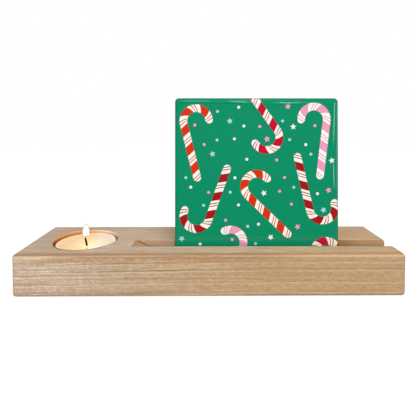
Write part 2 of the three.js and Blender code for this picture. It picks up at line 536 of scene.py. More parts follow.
def recess_middle(block):
    """Point of the recess's axis, at the height of the underside."""
    return Vector((BLOCK_LOW.x + block.recess_from_left, 0, 0))


def recess_cutter(block):
    """What the drill takes out."""
    floor = BLOCK_HIGH.z - block.recess_depth
    profile = [
        (0, floor), (block.recess_radius, floor),
        (block.recess_radius, BLOCK_HIGH.z + CLEAR), (0, BLOCK_HIGH.z + CLEAR),
    ]
    return turned_shape(profile, RECESS_STEPS, recess_middle(block))


def groove_cutter(block):
    """What the groove takes out: down the slope, then level past the right end."""
    floor, top = BLOCK_HIGH.z - block.groove_depth, BLOCK_HIGH.z
    start, run = BLOCK_LOW.x + block.groove_from_left, 1 / math.tan(block.groove_slope)
    side = [
        (start - CLEAR * run, top + CLEAR), (start + block.groove_depth * run, floor),
        (BLOCK_HIGH.x + CLEAR, floor), (BLOCK_HIGH.x + CLEAR, top + CLEAR),
    ]
    front = BLOCK_LOW.y + block.groove_from_front
    shape = bmesh.new()
    ends = loft(shape, [
        [(x, y, z) for x, z in side] for y in (front, front + block.groove_width)
    ])
    for ring in ends:
        shape.faces.new(ring)
    return shape


def block_shape(block):
    """Rounded plank with the recess and the groove cut in, and the new edges sanded."""
    plank = bmesh.new()
    bmesh.ops.create_cube(plank, size=1.0)
    bmesh.ops.scale(plank, vec=BLOCK_HIGH - BLOCK_LOW, verts=plank.verts[:])
    bmesh.ops.translate(plank, vec=(BLOCK_HIGH + BLOCK_LOW) / 2, verts=plank.verts[:])
    round_over(plank, plank.edges[:], block.edge_radius, EDGE_SEGMENTS)
    shape = carve(plank, recess_cutter(block), groove_cutter(block))
    bmesh.ops.remove_doubles(shape, verts=shape.verts[:], dist=SAME_SPOT)
    arrises = [
        edge for edge in shape.edges
        if edge.is_manifold and edge.is_convex and edge.calc_face_angle() > CUT_EDGE
    ]
    round_over(shape, arrises, block.sanded_edge, SANDED_SEGMENTS)
    return shape


def grain_level(graph, block, place):
    """Height across the grain: it tilts back, dips at the left end and wavers a little."""
    x, y, z = place
    wander = graph.cloud(place, (70, 60, 60), detail=1) - 0.5
    waver = graph.cloud(place, (9, 4, 9), detail=1) - 0.5
    level = z + (y - BLOCK_LOW.y / MM) * math.tan(block.ring_tilt)
    return level + x.ramp(40, -112) * (block.ring_drop / MM) + wander * 1.2 + waver * 0.9


def growth_rings(graph, level, place):
    """Thin pale line of each growth ring, and the darker line above it, both fainter in places."""
    rings = graph.add("ShaderNodeValToRGB", {
        "stops": [
            ((ring - RING_OFFSET + height) / RING_SPAN, (pale, dark, 0.0))
            for ring in RINGS for height, pale, dark in RING_LINES
        ],
    }, {"Fac": ((level - RING_OFFSET) / RING_SPAN).part()})
    pale, dark, _ = graph.split(rings)
    fade = graph.cloud(place, (20, 6, 6), shift=40)
    return pale * fade.ramp(0.20, 0.55), dark * fade.ramp(0.25, 0.60)


def figure_vigour(x):
    """The figure is strongest at the left end and half as strong at the right."""
    return 0.5 + 0.5 * x.ramp(20, -105)


def figure(graph, level, place, upward):
    """Lightness of the wood above or below 0: hair-thin streaks, short flecks and broad bands."""
    x, y, _ = place
    grain = (x, y, level)
    hair = graph.cloud(grain, (55, 20, 0.95), rough=0.6) - 0.5
    fleck = graph.cloud(place, (1.9, 0.85, 0.85), rough=0.6) - 0.5
    dash = graph.cloud(grain, (6, 3, 1), rough=0.6, shift=30) - 0.5
    streak = graph.cloud(grain, (17, 2.4, 9), rough=0.6) - 0.5
    band = graph.cloud(grain, (90, 7, 4.5), shift=9) - 0.5
    hairy = 0.35 + x.ramp(70, 10) * 1.1 + x.ramp(-60, -100) * 1.4
    side = fleck * (0.5 + 0.9 * figure_vigour(x)) + dash * 0.4 + hair * hairy
    top = streak + fleck * 0.5
    tone = side * (1 - upward) + top * upward + band * 0.22
    return tone + tone * tone * 0.8


def cut_mask(block, place):
    """1 on the walls of the recess and the groove, 0 on the outside of the block."""
    x, y, z = place
    front, top, right = BLOCK_LOW.y / MM, BLOCK_HIGH.z / MM, BLOCK_HIGH.x / MM
    reach, floor = block.recess_radius / MM, top - block.recess_depth / MM
    between = y.ramp(front + 6, front + 8) * y.ramp(reach + 2.5, reach + 0.5)
    within = z.ramp(top - 0.05, top - 0.5) * z.ramp(floor - 1.5, floor - 0.5)
    return between * within * x.away().ramp(right - 0.1, right - 0.8)


def groove_colours(graph, block, wood, place, inside, face_x):
    """Browner walls, with painted shade beside the tile, on the sloping end and along the corner at the
    back.
    """
    x, y, z = place
    top, depth = BLOCK_HIGH.z / MM, block.groove_depth / MM
    start = (BLOCK_LOW.x + block.groove_from_left) / MM
    back = (BLOCK_LOW.y + block.groove_from_front + block.groove_width) / MM
    fall = math.tan(block.groove_slope)
    run = depth / fall

    cut = graph.mix(x.ramp(start, -start), block.cut_left, block.cut_right)
    # Painted shade of the tile on the groove's walls beside it
    cut = graph.mix(x.ramp(98, 76) * x.ramp(30, 50), cut, block.cut_painted_shade)
    wood = graph.mix(inside * 0.8, wood, cut)

    # Painted shade on the sloping end, darker where it faces away from the light
    across = y.ramp(back - 12, back - 11.2) * y.ramp(back + 0.5, back)
    along = x.ramp(start - 1, start - 0.5) * x.ramp(start + run + 3, start + run)
    slope = face_x.ramp(0.15, 0.35) * across * along
    wood = graph.mix(slope * 0.9, wood, block.slope_painted_shade)

    # Painted shade along the corner follows the floor down the slope and runs on, fainter, low on the
    # back wall
    at_back = y.ramp(back - 1.2, back - 0.1) * y.ramp(back + 0.4, back + 0.2)
    floor = graph.maths("MAXIMUM", top - (x - start) * fall, top - depth)
    corner = (z - floor).ramp(1.4, 0.2) * x.ramp(start, start + 1) * 0.85
    low = z.ramp(top - 2.4, top - 3.8) * x.ramp(start, start + 5)
    low = low * (0.22 + 0.5 * x.ramp(-28, -38))
    # This is painted shade in the groove's corner and low on its back wall
    burnt = graph.maths("MAXIMUM", corner, low) * at_back
    return graph.mix(burnt * inside, wood, block.painted_shade_wood)


def recess_colours(graph, block, wood, place, inside):
    """Dark front rim, painted flame light on the wall, warm at the left and pale at the back and right,
    and painted shade on the wall's near side.
    """
    x, y, z = place
    top = BLOCK_HIGH.z / MM
    off_x = x - recess_middle(block).x / MM
    from_axis = (off_x * off_x + y * y).root()
    rim = from_axis.band(block.recess_radius / MM + 0.6, 1.3) * y.ramp(-11, -16)
    wood = graph.stain(wood, rim * z.ramp(top - 1, top) * -0.8)
    # Painted flame light on the wall near the candle, then painted shade on its near side
    by_candle = inside * off_x.away().ramp(30, 24)
    right_side = off_x.ramp(-14, 8)
    lit = graph.mix(right_side, block.painted_warm_wood, block.painted_lit_wood)
    wood = graph.mix(by_candle * (0.85 + right_side * 0.15), wood, lit)
    return graph.mix(by_candle * y.ramp(-6, -14) * 0.8, wood, block.painted_shade_wood)


def worn_and_painted_edges(graph, block, wood, place, upward):
    """Rubbed edges with painted light and shade: torn pale specks on the left, a smooth pale band on
    the right that is rubbed wood and a painted highlight, a shaded rounding and a pale foot.
    """
    x, y, z = place
    front, top, right = BLOCK_LOW.y / MM, BLOCK_HIGH.z / MM, BLOCK_HIGH.x / MM
    below_top = z - top
    rounding = y.ramp(front + 3.4, front + 2.0)
    smooth, calm = x.ramp(25, 78), x.band(-68, 30)

    # Painted shade on the rounding, and darker wood on the front under it and on a strip of the top
    # behind it
    edge_shade = rounding * z.ramp(top - 2.4, top - 1.2) * (1 - smooth * 0.4)
    under = z.ramp(top - 6, top - 1.8) * x.ramp(-100, -82) * x.ramp(60, 0) * (1 - upward)
    strip = y.ramp(front + 6, front + 2.5) * z.ramp(top - 0.8, top - 0.3) * (1 - smooth * 0.6)
    fade = edge_shade * -0.22 - under * (0.26 + calm * 0.12) - strip * 0.09
    wood = graph.stain(wood, fade)

    # Pale wood on the rounding: torn specks of rubbed wood, and a smooth band that is rubbed wood and a
    # painted highlight
    specks = graph.cloud(place, (2.2, 0.9, 0.7), rough=0.65, shift=70)
    patches = graph.cloud(place, (16, 5, 5), shift=90)
    torn = x.ramp(-76, -106) * specks.ramp(0.36, 0.56)
    patchy = patches.ramp(0.3, 0.6) * (1 - smooth) * (1 - calm * 0.8)
    pale = torn * below_top.band(-2.0, 1.3) + smooth * below_top.band(-1.05, 0.8) * 0.85
    pale = pale + below_top.band(-1.05, 0.6) * patchy * 0.55
    wood = graph.mix(rounding * pale * 0.55, wood, block.edge_wear_and_light)

    # Brown line above it, brown right end, and painted light that makes the foot pale where it faces
    # the floor
    brink = below_top.band(-0.33, 0.5) * (1 - smooth * 0.4)
    wood = graph.mix(rounding * brink * 0.78, wood, block.edge_brown)
    end = x.ramp(right - 1.3, right - 0.4) * z.ramp(top - 0.6, top - 2.5)
    wood = graph.mix(end * 0.45, wood, block.edge_brown)
    foot = z.ramp(1.3, 0.4) * (0.3 + x.ramp(-60, 60) * 0.25)
    return graph.mix(foot, wood, block.edge_wear_and_light)


def wood_material(block):
    """Light, close-grained wood: growth rings, fibres, short flecks and rubbed edges."""
    graph = Graph("light wood")
    place = graph.place()
    x, y, _ = place
    face_x, _, face_z = graph.facing()
    upward = face_z.ramp(0.5, 0.9)
    level = grain_level(graph, block, place)
    pale, dark = growth_rings(graph, level, place)
    tone = figure(graph, level, place, upward)

    blotch = graph.cloud(place, (7, 4, 2.6))
    along = x / 220 + 0.5 + (blotch - 0.5) * 0.5 - upward * 0.25
    warm = along.ramp(-0.12, 0.68) * (1 - upward * 0.3)
    wood = graph.mix(warm, block.wood_left, block.wood_right)
    # Painted light and shade: the top is made paler towards the right and darker behind the cup, and
    # the front a little darker in its middle
    rise = x.ramp(-100, -50) * 0.085 + x.ramp(-20, 60) * 0.10 - 0.12
    shade_behind_cup = y.ramp(13, 20) * x.ramp(-100, -85) * x.ramp(-50, -62)
    light = upward * (rise - shade_behind_cup * 0.05) - (1 - upward) * x.band(-45, 45) * 0.04
    tone = tone - upward * x.ramp(0, 60) * 0.035
    wood = graph.shade(graph.stain(wood, tone), 1 + light)
    shine = 0.12 + 0.36 * figure_vigour(x)
    wood = graph.mix(pale * (1 - upward * 0.8) * shine, wood, block.ring_pale)
    wood = graph.mix(dark * (1 - upward * 0.7) * shine, wood, block.ring_dark)

    inside = cut_mask(block, place)
    wood = groove_colours(graph, block, wood, place, inside, face_x)
    wood = recess_colours(graph, block, wood, place, inside)
    wood = worn_and_painted_edges(graph, block, wood, place, upward)
    return graph.finish(
        Base_Color=wood,
        Roughness=0.58 + tone * 0.3,
        Specular_IOR_Level=0.25,
        Normal=graph.relief(tone - dark * 0.3, 0.10, 0.5),
    )


class HOLDER_OT_add_block(bpy.types.Operator):
    """Make the wooden block with its recess and groove"""
    bl_idname = "holder.add_block"
    bl_label = "Wooden block"

    def execute(self, context):
        block = context.scene.holder_block
        mesh = finished_mesh(
            "holder_block", block_shape(block), [wood_material(block)], crease=26,
        )
        piece = add_piece("holder_block", mesh, "wood", "wood_block")
        flat = piece.modifiers.new("flat faces", "WEIGHTED_NORMAL")
        flat.keep_sharp = True
        return {"FINISHED"}


# ---- Glazed tile ----

TILE_SIDE_STEPS = 96
TILE_CORNER_STEPS = 8
TILE_EDGE_STEPS = 8
RIDGE_STEPS = 12
# Roll of glaze: share of its width at which its crest lies, how fast it comes and goes from the
# edge, and how many times it swells and sinks across the tile
RIDGE_CREST = 0.55
RIDGE_WAVES = 7.1
RIDGE_PATCHES = 9
SHARPEST_CORNER = 0.05 * MM
# Edge to the flat middle of the face and the back
FLAT_INSET = 9 * MM


def tile_place(context):
    """From the tile's own axes, across, up and out of its face, to the part's frame."""
    block, tile = context.scene.holder_block, context.scene.holder_tile
    groove_back = BLOCK_LOW.y + block.groove_from_front + block.groove_width
    foot = BLOCK_HIGH.z - block.groove_depth + GAP
    across = Vector((1, 0, 0))
    up = Vector((0, math.sin(tile.lean), math.cos(tile.lean)))
    out = Vector((0, -math.cos(tile.lean), math.sin(tile.lean)))
    back_foot = Vector((
        (TILE_LOW.x + TILE_HIGH.x) / 2,
        groove_back - GAP - (BLOCK_HIGH.z - foot) * math.tan(tile.lean),
        foot,
    ))
    place = Matrix((across, up, out)).transposed().to_4x4()
    place.translation = back_foot + out * tile.thickness
    return place


def edge_distance(tile, across, up):
    """How far a point of the face lies inside the tile's outline."""
    straight = tile.side / 2 - tile.corner_radius
    side, rise = abs(across) - straight, abs(up - tile.side / 2) - straight
    beyond = math.hypot(max(side, 0), max(rise, 0)) + min(max(side, rise), 0)
    return tile.corner_radius - beyond


def ridge_height(tile, across, up, inset):
    """Height of the roll of glaze: a long outer slope, a crest and a shorter inner slope."""
    spot = Vector((across, up, 0)) / tile.side
    start = tile.ridge_start + tile.ridge_shift * (spot.x + 0.5)
    start += tile.ridge_wander * math.sin(RIDGE_WAVES * (spot.x + spot.y))
    along = (inset - start) / tile.ridge_width
    if not 0 < along < 1:
        return 0.0
    wave = min(0.95 + 0.9 * noise.noise(spot * RIDGE_PATCHES), 1.0)
    side = along / RIDGE_CREST if along < RIDGE_CREST else (1 - along) / (1 - RIDGE_CREST)
    return tile.ridge_height * wave * side * side * (3 - 2 * side)


def glaze_height(tile, across, up):
    """Height of the glazed face: flat, with a low roll near the edge, then rounded over."""
    inset = edge_distance(tile, across, up)
    height = ridge_height(tile, across, up, inset)
    if inset < tile.edge_radius:
        fall = 1 - max(inset, 0) / tile.edge_radius
        height -= tile.edge_radius * (1 - math.sqrt(1 - fall ** 2))
    return height


def tile_outline(tile, inset):
    """Square outline with round corners, moved in by the inset."""
    half = tile.side / 2 - inset
    radius = max(tile.corner_radius - inset, SHARPEST_CORNER)
    points = []
    for quarter in range(4):
        spin = Matrix.Rotation(math.pi / 2 * quarter, 2)
        corner = arc((half - radius, half - radius), radius, 0, 90, TILE_CORNER_STEPS)
        run = 2 * (half - radius)
        straight = [
            (half - radius - run * k / TILE_SIDE_STEPS, half) for k in range(1, TILE_SIDE_STEPS)
        ]
        points += [spin @ Vector(point) for point in corner + straight]
    return [(point.x, point.y + tile.side / 2) for point in points]


def ridge_reach(tile):
    """Farthest that the roll of glaze comes in from the edge."""
    return tile.ridge_start + tile.ridge_shift + tile.ridge_wander + tile.ridge_width


def tile_rings(tile):
    """(inset, height) of each ring from the middle of the face round to the middle of the back."""
    radius = tile.edge_radius
    turns = [math.radians(90 * k / TILE_EDGE_STEPS) for k in range(TILE_EDGE_STEPS + 1)]
    over = [(radius * (1 - math.sin(angle)), None) for angle in turns]
    reach = ridge_reach(tile)
    roll = [
        (radius + (reach - radius) * k / RIDGE_STEPS, None) for k in range(RIDGE_STEPS, 0, -1)
    ]
    low = -tile.thickness
    under = [
        (radius * (1 - math.cos(angle)), low + radius * (1 - math.sin(angle))) for angle in turns
    ]
    sides = [(0.0, -tile.glazed_side)]
    return [(FLAT_INSET, 0.0), *roll, *over, *sides, *under, (FLAT_INSET, low)]


def tile_shape(tile):
    """Tile with a glazed face, rounded edges and a plain back. Material 1 is the bare biscuit."""
    shape = bmesh.new()
    rings = []
    for inset, height in tile_rings(tile):
        outline = tile_outline(tile, inset)
        rings.append([
            (across, up, glaze_height(tile, across, up) if height is None else height)
            for across, up in outline
        ])
    face, *_, back = loft(shape, rings)
    shape.faces.new(face)
    shape.faces.new(back)
    for facet in shape.faces:
        facet.material_index = int(facet.calc_center_median().z < -tile.glazed_side)
    return shape


def glaze_material(name, colour):
    """Smooth fired gloss over a printed colour, a little uneven, with painted shade where it bends
    over.
    """
    graph = Graph(name)
    place = graph.place()
    pool = graph.cloud(place, (18, 18, 18), detail=1)
    speck = graph.cloud(place, (0.8, 0.8, 0.8), detail=1)
    _, face_y, _ = graph.facing()
    # Painted shade: darker where the face turns over at the edges
    turned = face_y.ramp(-0.98, -0.80)
    return graph.finish(
        Base_Color=graph.shade(
            graph.mix(pool * 0.10, colour, [channel * 0.88 for channel in colour]),
            0.985 + speck * 0.03 - turned * 0.22,
        ),
        Roughness=0.07 + pool * 0.05,
        Specular_IOR_Level=0.25,
        Normal=graph.relief(pool, 0.06, 0.5),
    )


def biscuit_material(tile):
    """Bare fired clay, matt and faintly grainy."""
    graph = Graph("biscuit clay")
    place = graph.place()
    grit = graph.cloud(place, (0.6, 0.6, 0.6), detail=3, rough=0.6)
    stain = graph.cloud(place, (22, 22, 22))
    return graph.finish(
        Base_Color=graph.shade(tile.biscuit, 0.88 + grit * 0.12 + stain * 0.08),
        Roughness=0.86 + grit * 0.1,
        Specular_IOR_Level=0.2,
        Normal=graph.relief(grit, 0.08, 0.6),
    )


class HOLDER_OT_add_tile(bpy.types.Operator):
    """Make the square tile, glazed in front and bare behind"""
    bl_idname = "holder.add_tile"
    bl_label = "Glazed tile"

    def execute(self, context):
        tile = context.scene.holder_tile
        shape = tile_shape(tile)
        bmesh.ops.transform(shape, matrix=tile_place(context), verts=shape.verts[:])
        materials = [glaze_material("green glaze", tile.glaze), biscuit_material(tile)]
        mesh = finished_mesh("tile_body", shape, materials)
        add_piece("tile_body", mesh, "glazed_tile", "ceramic_tile")
        return {"FINISHED"}


# ---- Print on the tile ----

# Hook's middle across and up, in millimetres, the way the stick runs in degrees, the side that
# the hook turns to, and the colour of the stripes
CANES = [
    (-37, 86, -76, 1, "orange"),
    (6, 76, 126, 1, "crimson"),
    (35, 87, -97, -1, "pink"),
    (-37, 28, 70, 1, "dark_red"),
    (0, 46, -44, 1, "orange"),
    (40, 33, 103, -1, "dark_red"),
    (-16, 12, 200, -1, "pink"),
    (42, 5, -110, 1, "crimson"),
]
# Edges of the coloured stripes within one pitch, as shares of it: one broad, then two fine
STRIPES = [(0.0, 0.46), (0.60, 0.65), (0.74, 0.79)]
CANE_COLUMNS = 14
CANE_STEP = 0.9 * MM
# The print stands out of the glaze, goes into it and stops short of the tile's edge
PRINT_PROUD = 0.03 * MM
PRINT_DEEP = 0.08 * MM
PRINT_MARGIN = 0.12 * MM
PRINT_SAME_SPOT = 0.004 * MM
# Sideways step that finds how the glaze slopes
SLOPE_STEP = 0.02 * MM
# Each spot is nudged this far from its place in the rows, which lie a little closer than the
# spots in a row. The nudge turns on from spot to spot, across and up, by these angles.
SPOT_WANDER = 2.2 * MM
ROW_SQUEEZE = 0.95
TURN_ACROSS, TURN_UP = 2.4, 4.1
SPOT_MARGIN = 3.2 * MM
DOT_STEPS = 28
STAR_POINTS = 5
STAR_WAIST = 0.46
STAR_TURN = 0.3


def cane_line(cane, art):
    """Function that gives the middle line's point and its left-hand direction at a length."""
    across, up, run, side, _ = cane
    ahead = heading(math.radians(run))
    inward = Vector((-side * ahead.y, side * ahead.x))
    middle = Vector((across, up)) * MM

    def at(length):
        if length < art.cane_length:
            point = middle - inward * art.hook_radius + ahead * (art.cane_length - length)
            return point, inward
        angle = (length - art.cane_length) / art.hook_radius
        spoke = -inward * math.cos(angle) - ahead * math.sin(angle)
        return middle + spoke * art.hook_radius, -spoke

    return at, art.cane_length + art.hook_radius * art.hook_sweep


def cane_marks(art, total):
    """Lengths at which the ribbon is divided, and whether the stretch after each is a stripe."""
    slack = art.stripe_slant + art.cane_width
    marks = []
    pitch = -slack
    while pitch < total + slack:
        edges = [art.stripe_pitch * share for pair in STRIPES for share in pair]
        bounds = edges + [art.stripe_pitch]
        for k, (start, end) in enumerate(zip(bounds, bounds[1:])):
            pieces = max(1, math.ceil((end - start) / CANE_STEP))
            marks += [(pitch + start + (end - start) * j / pieces, k % 2 == 0)
                      for j in range(pieces)]
        pitch += art.stripe_pitch
    return marks


def cane_shape(cane, art):
    """Flat striped ribbon with round ends, in the tile's plane. Material 1 is the stripes."""
    at, total = cane_line(cane, art)
    half = art.cane_width / 2
    marks = cane_marks(art, total)
    shape = bmesh.new()
    columns = []
    for j in range(CANE_COLUMNS + 1):
        offset = -math.cos(math.pi * j / CANE_COLUMNS)
        cap = half * (1 - math.sqrt(max(1 - offset ** 2, 0)))
        column = []
        for length, _ in marks:
            along = min(max(length + art.stripe_slant * offset, cap), total - cap)
            point, left = at(along)
            column.append(shape.verts.new((*(point + left * half * offset), 0)))
        columns.append(column)
    for left, right in zip(columns, columns[1:]):
        for k in range(len(marks) - 1):
            face = shape.faces.new((left[k], right[k], right[k + 1], left[k + 1]))
            face.material_index = int(marks[k][1])
    bmesh.ops.remove_doubles(shape, verts=shape.verts[:], dist=PRINT_SAME_SPOT)
    bmesh.ops.dissolve_degenerate(shape, edges=shape.edges[:], dist=PRINT_SAME_SPOT)
    return shape


def trim_to_tile(shape, tile):
    """Cuts a flat print off at the tile's edges, and divides it where the edge begins to bend."""
    half = tile.side / 2
    reach = ridge_reach(tile)
    steps = [
        PRINT_MARGIN + (reach - PRINT_MARGIN) * k / RIDGE_STEPS for k in range(RIDGE_STEPS + 1)
    ]
    for side in (Vector((1, 0, 0)), Vector((-1, 0, 0)), Vector((0, 1, 0)), Vector((0, -1, 0))):
        for k, inset in enumerate(steps):
            bmesh.ops.bisect_plane(
                shape, geom=shape.verts[:] + shape.edges[:] + shape.faces[:],
                plane_co=Vector((0, half, 0)) + side * (half - inset), plane_no=side,
                clear_outer=(k == 0),
            )


def lay_on_glaze(shape, tile):
    """Gives a flat print its thickness and lays it on the glazed face."""
    sheet = bmesh.ops.extrude_face_region(shape, geom=shape.faces[:], use_keep_orig=True)
    raised = {item for item in sheet["geom"] if isinstance(item, bmesh.types.BMVert)}
    for vert in shape.verts:
        across, up, _ = vert.co
        height = glaze_height(tile, across, up)
        slope = Vector((
            (glaze_height(tile, across - SLOPE_STEP, up) - height) / SLOPE_STEP,
            (glaze_height(tile, across, up - SLOPE_STEP) - height) / SLOPE_STEP,
            1,
        )).normalized()
        lift = PRINT_PROUD if vert in raised else -PRINT_DEEP
        vert.co = Vector((across, up, height)) + slope * lift


def print_mesh(name, shape, context, materials):
    """Finishes a flat print as a thin closed piece on the tile."""
    tile = context.scene.holder_tile
    trim_to_tile(shape, tile)
    lay_on_glaze(shape, tile)
    bmesh.ops.transform(shape, matrix=tile_place(context), verts=shape.verts[:])
    return finished_mesh(name, shape, materials)


class HOLDER_OT_add_canes(bpy.types.Operator):
    """Print the candy canes on the tile"""
    bl_idname = "holder.add_canes"
    bl_label = "Printed canes"

    def execute(self, context):
        art = context.scene.holder_print
        cream = glaze_material("print cream", art.cream)
        inks = {
            name: glaze_material("print " + name, getattr(art, name))
            for name in ("crimson", "orange", "dark_red", "pink")
        }
        for number, cane in enumerate(CANES, 1):
            name = f"printed_cane_{number}"
            shape = cane_shape(cane, art)
            mesh = print_mesh(name, shape, context, [cream, inks[cane[4]]])
            add_piece(name, mesh, "glazed_tile")
        return {"FINISHED"}


def near_cane(spot, art):
    """True if a spot would touch a candy cane."""
    room = art.cane_width / 2 + SPOT_MARGIN
    for cane in CANES:
        at, total = cane_line(cane, art)
        steps = math.ceil(total / CANE_STEP)
        if any((at(total * k / steps)[0] - spot).length < room for k in range(steps + 1)):
            return True
    return False


def spots(tile, art):
    """Places for dots and stars: staggered rows, nudged a little, clear of canes and edges."""
    found = []
    rows = math.ceil(tile.side / art.spot_spacing)
    for row in range(rows + 1):
        for column in range(rows + 1):
            number = 1 + row * (rows + 1) + column
            spot = Vector((
                -tile.side / 2 + art.spot_spacing * (column + 0.5 * (row % 2)),
                SPOT_MARGIN + art.spot_spacing * ROW_SQUEEZE * row,
            ))
            nudge = Vector((math.sin(TURN_ACROSS * number), math.cos(TURN_UP * number)))
            spot += SPOT_WANDER * nudge
            if edge_distance(tile, *spot) > SPOT_MARGIN and not near_cane(spot, art):
                found.append(spot)
    return found


def round_spot(width):
    """Round dot."""
    return [heading(math.tau * k / DOT_STEPS) * width / 2 for k in range(DOT_STEPS)]


def star_spot(width, lean):
    """Five-pointed star, turned by lean."""
    points = []
    for k in range(2 * STAR_POINTS):
        reach = width / 2 * (1.0 if k % 2 == 0 else STAR_WAIST)
        points.append(heading(math.pi / 2 + math.pi * k / STAR_POINTS + lean) * reach)
    return points


class HOLDER_OT_add_spots(bpy.types.Operator):
    """Print the dots and stars between the canes"""
    bl_idname = "holder.add_spots"
    bl_label = "Printed dots and stars"

    def execute(self, context):
        tile, art = context.scene.holder_tile, context.scene.holder_print
        inks = [
            glaze_material("print " + name, getattr(art, name))
            for name in ("spot_white", "spot_pink", "spot_blue")
        ]
        shapes = {"printed_dots": bmesh.new(), "printed_stars": bmesh.new()}
        for number, spot in enumerate(spots(tile, art)):
            if number % 4 == 2:
                name, outline = "printed_stars", star_spot(art.star_width, STAR_TURN * number)
            else:
                name, outline = "printed_dots", round_spot(art.dot_width)
            shape = shapes[name]
            centre = shape.verts.new((*spot, 0))
            rim = [shape.verts.new((*(spot + point), 0)) for point in outline]
            for first, second in zip(rim, rim[1:] + rim[:1]):
                shape.faces.new((centre, first, second)).material_index = number % 3
        for name, shape in shapes.items():
            add_piece(name, print_mesh(name, shape, context, inks), "glazed_tile")
        return {"FINISHED"}


# ---- Tealight ----

CUP_STEPS = 144
CUP_ARC_STEPS = 8
FLUTES = 48
FLUTE_DEPTH = 0.05 * MM
# Shares of the cup's radius at which the ring pressed into its base starts, is high, and ends
BASE_RING = (0.55, 0.57, 0.62, 0.64)
# Rings of the wax's surface lie closer together towards the wall, above 1, or towards the middle
WAX_RINGS = 30
WAX_CROWDING = 1.3
POOL_CROWDING = 0.8
# How high melted wax climbs at the wall and the wick, and how far from each
MENISCUS = 0.22 * MM
MENISCUS_REACH = 0.9 * MM
WICK_MENISCUS_REACH = 1.3 * MM
# Gap from the wax to the cup's wall
WAX_GAP = 0.02 * MM
# Corners this near to the wax's top belong to its surface
SURFACE = 0.01 * MM
# Clear wax: how far it stops short of the solid wax's edge, sinks in the middle and clears the dish
POOL_INSET = 1.5 * MM
POOL_SINK = 0.03 * MM
POOL_GAP = 0.02 * MM
WICK_RINGS = 36
WICK_SIDES = 18
STRANDS = 3
STRAND_DEPTH = 0.05
# Height in which a strand goes round once
WICK_TWIST = 1.7 * MM
WICK_TAPER = 0.25
WICK_BOW = Vector((0.08, 0, 0)) * MM
WICK_TIP = Vector((0, 0, 0.1)) * MM
# Share of the wick's radius that its leaning ends reach past their middles
WICK_CANT = 0.2
FLAME_STEPS = 36
FLAME_SIDES = 40
# The rings of the flame lie closer together towards its foot
FLAME_CROWDING = 1.4
# Share of the flame's height in which its foot rounds off, and the shape of its taper above
FLAME_ROUND = 0.10
FLAME_FULLNESS = 3.4
FLAME_BLUNTNESS = 0.75
# The flame's foot stands this far to the right of the wick's tip
FLAME_SHIFT = 0.45 * MM
# The mantle is so much taller and wider than the bright flame, open at a share of its height, and
# a little more solid at its tip
MANTLE_RISE = 1.1 * MM
MANTLE_SPREAD = 0.7 * MM
MANTLE_FOOT = 0.04
MANTLE_ALPHA = 0.24
MANTLE_TIP = 0.25


def candle_middle(context):
    """Point of the candle's axis, which is the recess's."""
    return recess_middle(context.scene.holder_block)


def cup_shape(candle, middle):
    """Thin pressed cup: rounded foot, faintly fluted wall and a rolled rim."""
    radius = middle.x - CUP_LOW.x - candle.bead_radius
    wall, foot, bead = candle.cup_wall, candle.foot_radius, candle.bead_radius
    low, high = CUP_LOW.z, CUP_HIGH.z
    profile = [(0, low)] + [
        (radius * share, height) for share, height in
        zip(BASE_RING, (low, low + wall * 0.4, low + wall * 0.4, low))
    ]
    profile += arc((radius - foot, low + foot), foot, -90, 0, CUP_ARC_STEPS)
    profile += [(radius, low + foot * 1.5), (radius, high - bead * 3)]
    profile += arc((radius, high - bead), bead, -90, 180, 2 * CUP_ARC_STEPS)
    inner = radius - wall
    profile += [(inner, high - bead * 3), (inner, low + foot)]
    profile += arc((radius - foot, low + foot), foot - wall, 0, -90, CUP_ARC_STEPS)
    profile += [(0, low + wall)]
    shape = turned_shape(profile, CUP_STEPS, middle)
    for vert in shape.verts:
        spoke = Vector((vert.co.x - middle.x, vert.co.y - middle.y))
        on_wall = low + foot < vert.co.z < high - bead * 2.5
        if on_wall and spoke.length > radius - wall * 0.5:
            wave = math.cos(FLUTES * math.atan2(spoke.y, spoke.x))
            pull = FLUTE_DEPTH * (wave - 1)
            vert.co += Vector((*spoke.normalized(), 0)) * pull
    return shape


def lit_side(place, middle):
    """1 at the back and right of the candle, where the flame's light is caught, and 0 elsewhere."""
    x, y, _ = place
    off_x = x - middle.x / MM
    return off_x.ramp(-8, 2) * off_x.ramp(17, 12) * y.ramp(0, 6)


def metal_material(candle, middle):
    """Thin pressed aluminium, softly brushed round and creased, tinted brown by a painted reflection of
    the recess's wood, with painted flame light on its rim at the back.
    """
    graph = Graph("pressed aluminium")
    place = graph.place()
    rim = CUP_HIGH.z / MM
    # Painted flame light: the rim at the back turns pale and less metallic
    film = lit_side(place, middle) * place[2].ramp(rim - 2, rim - 1)
    crease = graph.cloud(place, (1.2, 1.2, 6), detail=3, rough=0.6)
    lines = graph.cloud(place, (9, 9, 0.15))
    return graph.finish(
        Base_Color=graph.shade(
            graph.mix(film, candle.metal, candle.flame_lit_metal), 0.88 + crease * 0.16,
        ),
        Metallic=1 - film * 0.8,
        Roughness=0.26 + lines * 0.18,
        Normal=graph.relief(crease * 0.7 + lines * 0.3, 0.05, 0.4),
    )


class HOLDER_OT_add_cup(bpy.types.Operator):
    """Make the tealight's metal cup"""
    bl_idname = "holder.add_cup"
    bl_label = "Tealight cup"

    def execute(self, context):
        candle, middle = context.scene.holder_candle, candle_middle(context)
        mesh = finished_mesh(
            "candle_cup", cup_shape(candle, middle), [metal_material(candle, middle)],
        )
        add_piece("candle_cup", mesh, "cup_metal", "tealight_cup")
        return {"FINISHED"}


def wick_ends(candle):
    """Middles of the wick's two ends: it leans to the left, in the plane of the cup's axis."""
    reach = candle.wick_radius
    y = (WICK_LOW.y + WICK_HIGH.y) / 2
    low = Vector((WICK_HIGH.x - reach, y, WICK_LOW.z + WICK_CANT * reach))
    high = Vector((WICK_LOW.x + reach, y, WICK_HIGH.z - WICK_CANT * reach))
    return low, high


